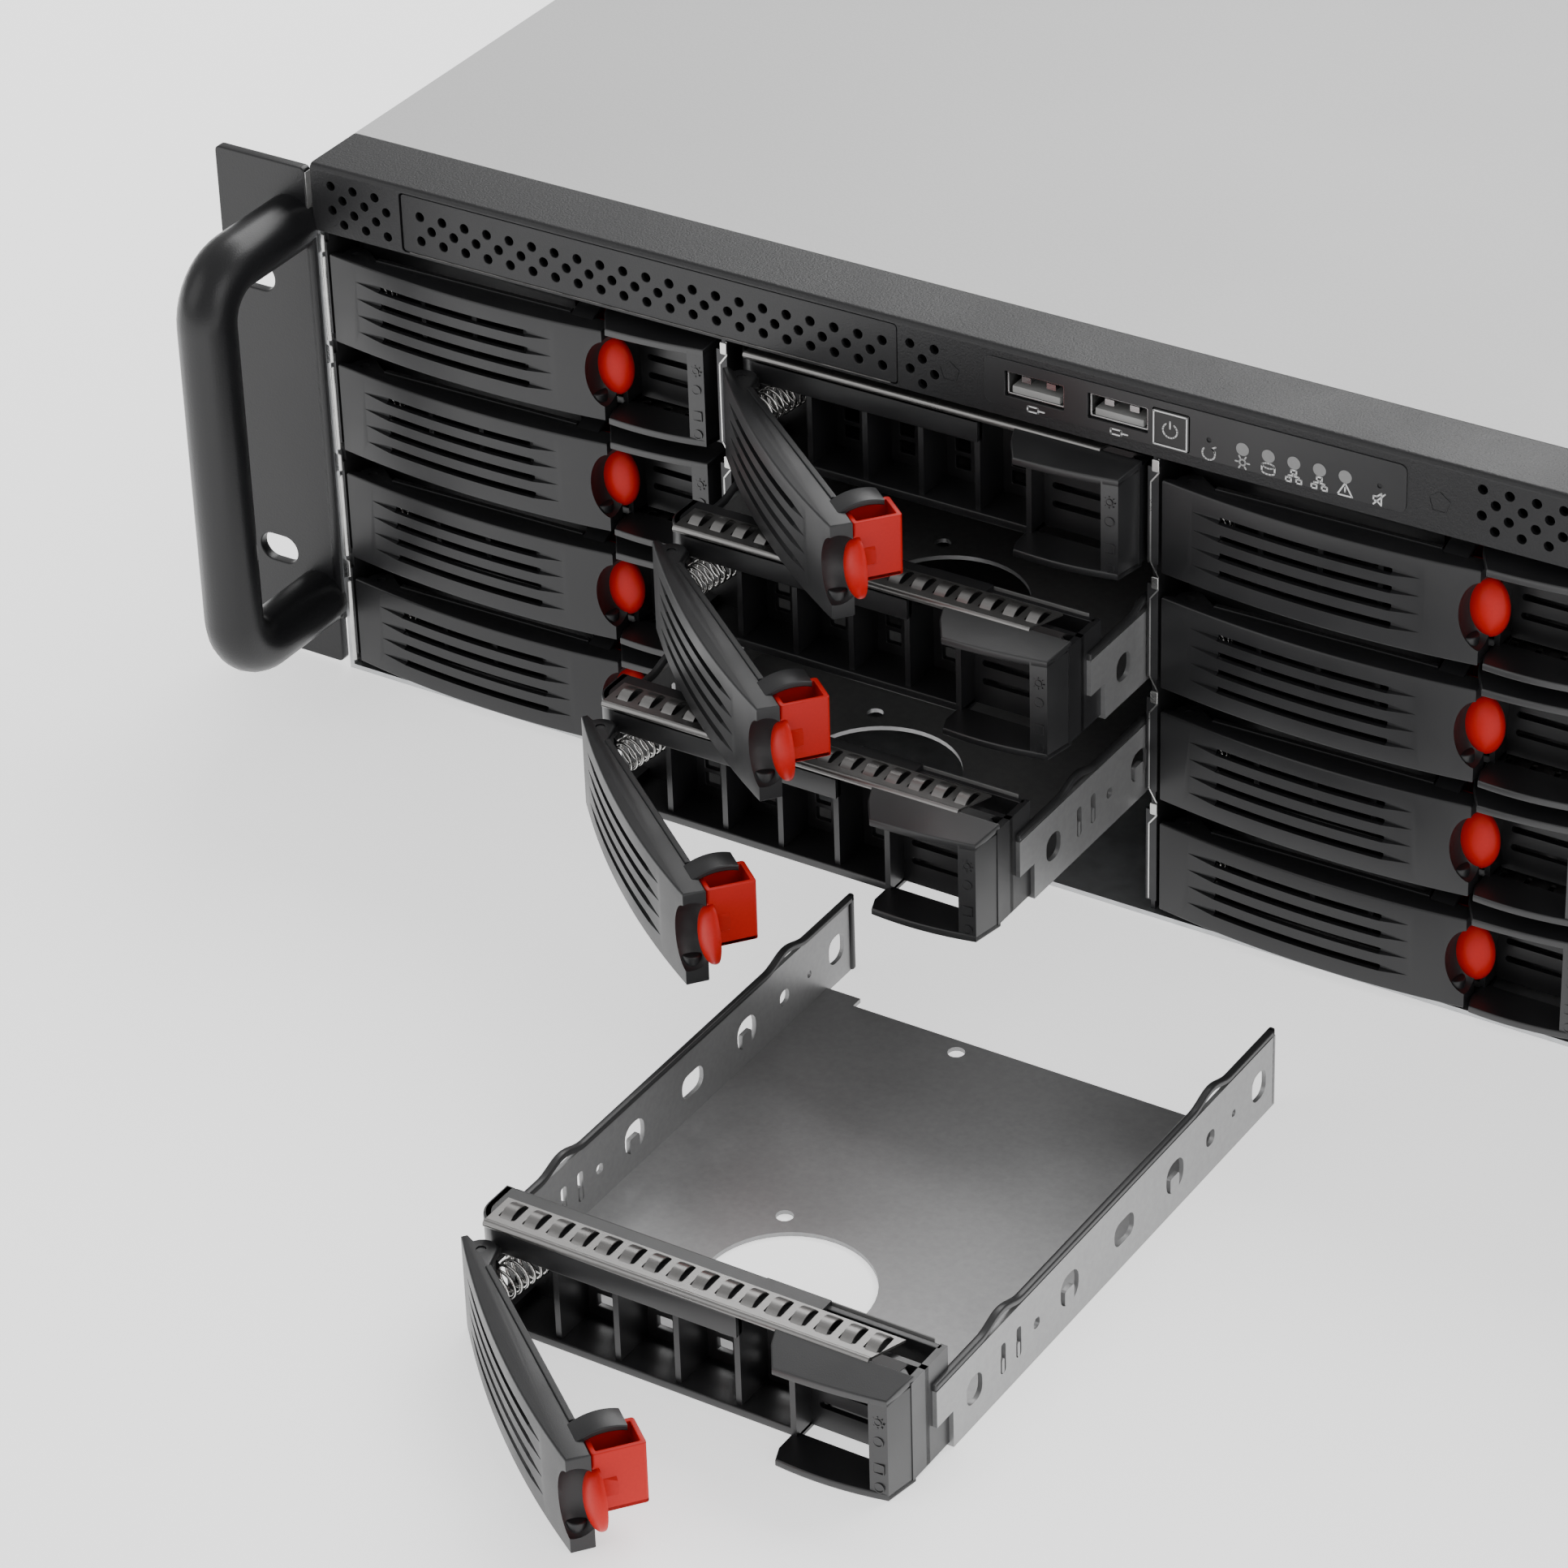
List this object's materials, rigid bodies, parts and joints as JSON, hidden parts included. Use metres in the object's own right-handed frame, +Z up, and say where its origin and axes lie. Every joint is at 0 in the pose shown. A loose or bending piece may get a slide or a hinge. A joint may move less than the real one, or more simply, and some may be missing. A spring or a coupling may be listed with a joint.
{
  "type": "rackmount server chassis",
  "caption": "Three-unit rack chassis with hot-swap drive trays on slides, swinging tray levers with red sprung latches, rack ears with handles and a sliding top cover.",
  "frame": {"origin": "middle of the chassis bottom in the plane of the rack rails, the ears' rear face", "axes": "+Z up, +Y into the chassis, X across; the front looks along -Y"},
  "size_m": [0.4826, 0.9105, 0.132],
  "materials": {
    "galvanised_sheet": "satin galvanised sheet",
    "cover_sheet": "satin sheet",
    "black_coat": "fine texture powder coat",
    "circuit_board": "solder resist",
    "overlay_film": "satin film",
    "button_black": "satin",
    "fan_plastic": "satin",
    "tray_dark": "satin moulding on a dark sheet pan",
    "lever_plastic": "satin",
    "latch_red": "satin"
  },
  "bodies": {
    "chassis": {"chassis_shell": "galvanised_sheet", "front_strip": "black_coat", "rack_ears": "black_coat", "drive_cage": "galvanised_sheet", "backplane": "circuit_board", "control_panel": "overlay_film", "optical_blank": "black_coat", "fan_wall": "fan_plastic", "tray_c2r4": "tray_dark"},
    "top_cover": {"top_cover": "cover_sheet"},
    "power_button": {"power_button": "button_black"},
    "fan_rotor_1": {"fan_rotor_1": "fan_plastic"},
    "fan_rotor_2": {"fan_rotor_2": "fan_plastic"},
    "tray_c1r1": {"tray_c1r1": "tray_dark"},
    "lever_c1r1": {"lever_c1r1": "lever_plastic"},
    "latch_c1r1": {"latch_c1r1": "latch_red"},
    "tray_c1r2": {"tray_c1r2": "tray_dark"},
    "lever_c1r2": {"lever_c1r2": "lever_plastic"},
    "latch_c1r2": {"latch_c1r2": "latch_red"},
    "tray_c1r3": {"tray_c1r3": "tray_dark"},
    "lever_c1r3": {"lever_c1r3": "lever_plastic"},
    "latch_c1r3": {"latch_c1r3": "latch_red"},
    "tray_c1r4": {"tray_c1r4": "tray_dark"},
    "lever_c1r4": {"lever_c1r4": "lever_plastic"},
    "latch_c1r4": {"latch_c1r4": "latch_red"},
    "tray_c2r1": {"tray_c2r1": "tray_dark"},
    "lever_c2r1": {"lever_c2r1": "lever_plastic"},
    "latch_c2r1": {"latch_c2r1": "latch_red"},
    "tray_c2r2": {"tray_c2r2": "tray_dark"},
    "lever_c2r2": {"lever_c2r2": "lever_plastic"},
    "latch_c2r2": {"latch_c2r2": "latch_red"},
    "tray_c2r3": {"tray_c2r3": "tray_dark"},
    "lever_c2r3": {"lever_c2r3": "lever_plastic"},
    "latch_c2r3": {"latch_c2r3": "latch_red"},
    "lever_c2r4": {"lever_c2r4": "lever_plastic"},
    "latch_c2r4": {"latch_c2r4": "latch_red"},
    "tray_c3r1": {"tray_c3r1": "tray_dark"},
    "lever_c3r1": {"lever_c3r1": "lever_plastic"},
    "latch_c3r1": {"latch_c3r1": "latch_red"},
    "tray_c3r2": {"tray_c3r2": "tray_dark"},
    "lever_c3r2": {"lever_c3r2": "lever_plastic"},
    "latch_c3r2": {"latch_c3r2": "latch_red"},
    "tray_c3r3": {"tray_c3r3": "tray_dark"},
    "lever_c3r3": {"lever_c3r3": "lever_plastic"},
    "latch_c3r3": {"latch_c3r3": "latch_red"},
    "tray_c3r4": {"tray_c3r4": "tray_dark"},
    "lever_c3r4": {"lever_c3r4": "lever_plastic"},
    "latch_c3r4": {"latch_c3r4": "latch_red"},
    "tray_c4r1": {"tray_c4r1": "tray_dark"},
    "lever_c4r1": {"lever_c4r1": "lever_plastic"},
    "latch_c4r1": {"latch_c4r1": "latch_red"},
    "tray_c4r2": {"tray_c4r2": "tray_dark"},
    "lever_c4r2": {"lever_c4r2": "lever_plastic"},
    "latch_c4r2": {"latch_c4r2": "latch_red"},
    "tray_c4r3": {"tray_c4r3": "tray_dark"},
    "lever_c4r3": {"lever_c4r3": "lever_plastic"},
    "latch_c4r3": {"latch_c4r3": "latch_red"},
    "tray_c4r4": {"tray_c4r4": "tray_dark"},
    "lever_c4r4": {"lever_c4r4": "lever_plastic"},
    "latch_c4r4": {"latch_c4r4": "latch_red"}
  },
  "joints": [
    {"name": "top_cover_slide", "type": "slide", "parent": "chassis", "child": "top_cover", "axis": [0, 1, 0], "range_m": [0, 0.014]},
    {"name": "power_button_press", "type": "slide", "parent": "chassis", "child": "power_button", "axis": [0, 1, 0], "range_m": [0, 0.0012], "stiffness_N_per_m": 300},
    {"name": "fan_rotor_1_spin", "type": "hinge", "parent": "chassis", "child": "fan_rotor_1", "pos_m": [-0.004, 0.2472, 0.066], "axis": [0, -1, 0], "continuous": true},
    {"name": "fan_rotor_2_spin", "type": "hinge", "parent": "chassis", "child": "fan_rotor_2", "pos_m": [0.124, 0.2472, 0.066], "axis": [0, -1, 0], "continuous": true},
    {"name": "tray_c1r1_slide", "type": "slide", "parent": "chassis", "child": "tray_c1r1", "axis": [0, -1, 0], "range_m": [0, 0.14]},
    {"name": "lever_c1r1_swing", "type": "hinge", "parent": "tray_c1r1", "child": "lever_c1r1", "pos_m": [-0.206, 0.001, 0.1005], "axis": [0, 0, 1], "range_deg": [-40, 0]},
    {"name": "latch_c1r1_press", "type": "slide", "parent": "lever_c1r1", "child": "latch_c1r1", "axis": [-1, 0, 0], "range_m": [0, 0.0025], "stiffness_N_per_m": 200},
    {"name": "tray_c1r2_slide", "type": "slide", "parent": "chassis", "child": "tray_c1r2", "axis": [0, -1, 0], "range_m": [0, 0.14]},
    {"name": "lever_c1r2_swing", "type": "hinge", "parent": "tray_c1r2", "child": "lever_c1r2", "pos_m": [-0.206, 0.001, 0.0722], "axis": [0, 0, 1], "range_deg": [-40, 0]},
    {"name": "latch_c1r2_press", "type": "slide", "parent": "lever_c1r2", "child": "latch_c1r2", "axis": [-1, 0, 0], "range_m": [0, 0.0025], "stiffness_N_per_m": 200},
    {"name": "tray_c1r3_slide", "type": "slide", "parent": "chassis", "child": "tray_c1r3", "axis": [0, -1, 0], "range_m": [0, 0.14]},
    {"name": "lever_c1r3_swing", "type": "hinge", "parent": "tray_c1r3", "child": "lever_c1r3", "pos_m": [-0.206, 0.001, 0.0439], "axis": [0, 0, 1], "range_deg": [-40, 0]},
    {"name": "latch_c1r3_press", "type": "slide", "parent": "lever_c1r3", "child": "latch_c1r3", "axis": [-1, 0, 0], "range_m": [0, 0.0025], "stiffness_N_per_m": 200},
    {"name": "tray_c1r4_slide", "type": "slide", "parent": "chassis", "child": "tray_c1r4", "axis": [0, -1, 0], "range_m": [0, 0.14]},
    {"name": "lever_c1r4_swing", "type": "hinge", "parent": "tray_c1r4", "child": "lever_c1r4", "pos_m": [-0.206, 0.001, 0.0156], "axis": [0, 0, 1], "range_deg": [-40, 0]},
    {"name": "latch_c1r4_press", "type": "slide", "parent": "lever_c1r4", "child": "latch_c1r4", "axis": [-1, 0, 0], "range_m": [0, 0.0025], "stiffness_N_per_m": 200},
    {"name": "tray_c2r1_slide", "type": "slide", "parent": "chassis", "child": "tray_c2r1", "axis": [0, -1, 0], "range_m": [-0.0065, 0.1335]},
    {"name": "lever_c2r1_swing", "type": "hinge", "parent": "tray_c2r1", "child": "lever_c2r1", "pos_m": [-0.099, -0.0055, 0.1005], "axis": [0, 0, 1], "range_deg": [-1, 39], "stiffness_Nm_per_rad": 0.02},
    {"name": "latch_c2r1_press", "type": "slide", "parent": "lever_c2r1", "child": "latch_c2r1", "axis": [-0.7771, 0.6293, 0], "range_m": [0, 0.0025], "stiffness_N_per_m": 200},
    {"name": "tray_c2r2_slide", "type": "slide", "parent": "chassis", "child": "tray_c2r2", "axis": [0, -1, 0], "range_m": [-0.0365, 0.1035]},
    {"name": "lever_c2r2_swing", "type": "hinge", "parent": "tray_c2r2", "child": "lever_c2r2", "pos_m": [-0.099, -0.0355, 0.0722], "axis": [0, 0, 1], "range_deg": [-1, 39], "stiffness_Nm_per_rad": 0.02},
    {"name": "latch_c2r2_press", "type": "slide", "parent": "lever_c2r2", "child": "latch_c2r2", "axis": [-0.7771, 0.6293, 0], "range_m": [0, 0.0025], "stiffness_N_per_m": 200},
    {"name": "tray_c2r3_slide", "type": "slide", "parent": "chassis", "child": "tray_c2r3", "axis": [0, -1, 0], "range_m": [-0.0665, 0.0735]},
    {"name": "lever_c2r3_swing", "type": "hinge", "parent": "tray_c2r3", "child": "lever_c2r3", "pos_m": [-0.099, -0.0655, 0.0439], "axis": [0, 0, 1], "range_deg": [-1, 39], "stiffness_Nm_per_rad": 0.02},
    {"name": "latch_c2r3_press", "type": "slide", "parent": "lever_c2r3", "child": "latch_c2r3", "axis": [-0.7771, 0.6293, 0], "range_m": [0, 0.0025], "stiffness_N_per_m": 200},
    {"name": "lever_c2r4_swing", "type": "hinge", "parent": "chassis", "child": "lever_c2r4", "pos_m": [-0.0405, -0.1985, 0.013], "axis": [0, 0, 1], "range_deg": [-1, 39], "stiffness_Nm_per_rad": 0.02},
    {"name": "latch_c2r4_press", "type": "slide", "parent": "lever_c2r4", "child": "latch_c2r4", "axis": [-0.7771, 0.6293, 0], "range_m": [0, 0.0025], "stiffness_N_per_m": 200},
    {"name": "tray_c3r1_slide", "type": "slide", "parent": "chassis", "child": "tray_c3r1", "axis": [0, -1, 0], "range_m": [0, 0.14]},
    {"name": "lever_c3r1_swing", "type": "hinge", "parent": "tray_c3r1", "child": "lever_c3r1", "pos_m": [0.008, 0.001, 0.1005], "axis": [0, 0, 1], "range_deg": [-40, 0]},
    {"name": "latch_c3r1_press", "type": "slide", "parent": "lever_c3r1", "child": "latch_c3r1", "axis": [-1, 0, 0], "range_m": [0, 0.0025], "stiffness_N_per_m": 200},
    {"name": "tray_c3r2_slide", "type": "slide", "parent": "chassis", "child": "tray_c3r2", "axis": [0, -1, 0], "range_m": [0, 0.14]},
    {"name": "lever_c3r2_swing", "type": "hinge", "parent": "tray_c3r2", "child": "lever_c3r2", "pos_m": [0.008, 0.001, 0.0722], "axis": [0, 0, 1], "range_deg": [-40, 0]},
    {"name": "latch_c3r2_press", "type": "slide", "parent": "lever_c3r2", "child": "latch_c3r2", "axis": [-1, 0, 0], "range_m": [0, 0.0025], "stiffness_N_per_m": 200},
    {"name": "tray_c3r3_slide", "type": "slide", "parent": "chassis", "child": "tray_c3r3", "axis": [0, -1, 0], "range_m": [0, 0.14]},
    {"name": "lever_c3r3_swing", "type": "hinge", "parent": "tray_c3r3", "child": "lever_c3r3", "pos_m": [0.008, 0.001, 0.0439], "axis": [0, 0, 1], "range_deg": [-40, 0]},
    {"name": "latch_c3r3_press", "type": "slide", "parent": "lever_c3r3", "child": "latch_c3r3", "axis": [-1, 0, 0], "range_m": [0, 0.0025], "stiffness_N_per_m": 200},
    {"name": "tray_c3r4_slide", "type": "slide", "parent": "chassis", "child": "tray_c3r4", "axis": [0, -1, 0], "range_m": [0, 0.042]},
    {"name": "lever_c3r4_swing", "type": "hinge", "parent": "tray_c3r4", "child": "lever_c3r4", "pos_m": [0.008, 0.001, 0.0156], "axis": [0, 0, 1], "range_deg": [-40, 0]},
    {"name": "latch_c3r4_press", "type": "slide", "parent": "lever_c3r4", "child": "latch_c3r4", "axis": [-1, 0, 0], "range_m": [0, 0.0025], "stiffness_N_per_m": 200},
    {"name": "tray_c4r1_slide", "type": "slide", "parent": "chassis", "child": "tray_c4r1", "axis": [0, -1, 0], "range_m": [0, 0.14]},
    {"name": "lever_c4r1_swing", "type": "hinge", "parent": "tray_c4r1", "child": "lever_c4r1", "pos_m": [0.115, 0.001, 0.1005], "axis": [0, 0, 1], "range_deg": [-40, 0]},
    {"name": "latch_c4r1_press", "type": "slide", "parent": "lever_c4r1", "child": "latch_c4r1", "axis": [-1, 0, 0], "range_m": [0, 0.0025], "stiffness_N_per_m": 200},
    {"name": "tray_c4r2_slide", "type": "slide", "parent": "chassis", "child": "tray_c4r2", "axis": [0, -1, 0], "range_m": [0, 0.14]},
    {"name": "lever_c4r2_swing", "type": "hinge", "parent": "tray_c4r2", "child": "lever_c4r2", "pos_m": [0.115, 0.001, 0.0722], "axis": [0, 0, 1], "range_deg": [-40, 0]},
    {"name": "latch_c4r2_press", "type": "slide", "parent": "lever_c4r2", "child": "latch_c4r2", "axis": [-1, 0, 0], "range_m": [0, 0.0025], "stiffness_N_per_m": 200},
    {"name": "tray_c4r3_slide", "type": "slide", "parent": "chassis", "child": "tray_c4r3", "axis": [0, -1, 0], "range_m": [0, 0.14]},
    {"name": "lever_c4r3_swing", "type": "hinge", "parent": "tray_c4r3", "child": "lever_c4r3", "pos_m": [0.115, 0.001, 0.0439], "axis": [0, 0, 1], "range_deg": [-40, 0]},
    {"name": "latch_c4r3_press", "type": "slide", "parent": "lever_c4r3", "child": "latch_c4r3", "axis": [-1, 0, 0], "range_m": [0, 0.0025], "stiffness_N_per_m": 200},
    {"name": "tray_c4r4_slide", "type": "slide", "parent": "chassis", "child": "tray_c4r4", "axis": [0, -1, 0], "range_m": [0, 0.14]},
    {"name": "lever_c4r4_swing", "type": "hinge", "parent": "tray_c4r4", "child": "lever_c4r4", "pos_m": [0.115, 0.001, 0.0156], "axis": [0, 0, 1], "range_deg": [-40, 0]},
    {"name": "latch_c4r4_press", "type": "slide", "parent": "lever_c4r4", "child": "latch_c4r4", "axis": [-1, 0, 0], "range_m": [0, 0.0025], "stiffness_N_per_m": 200}
  ]
}
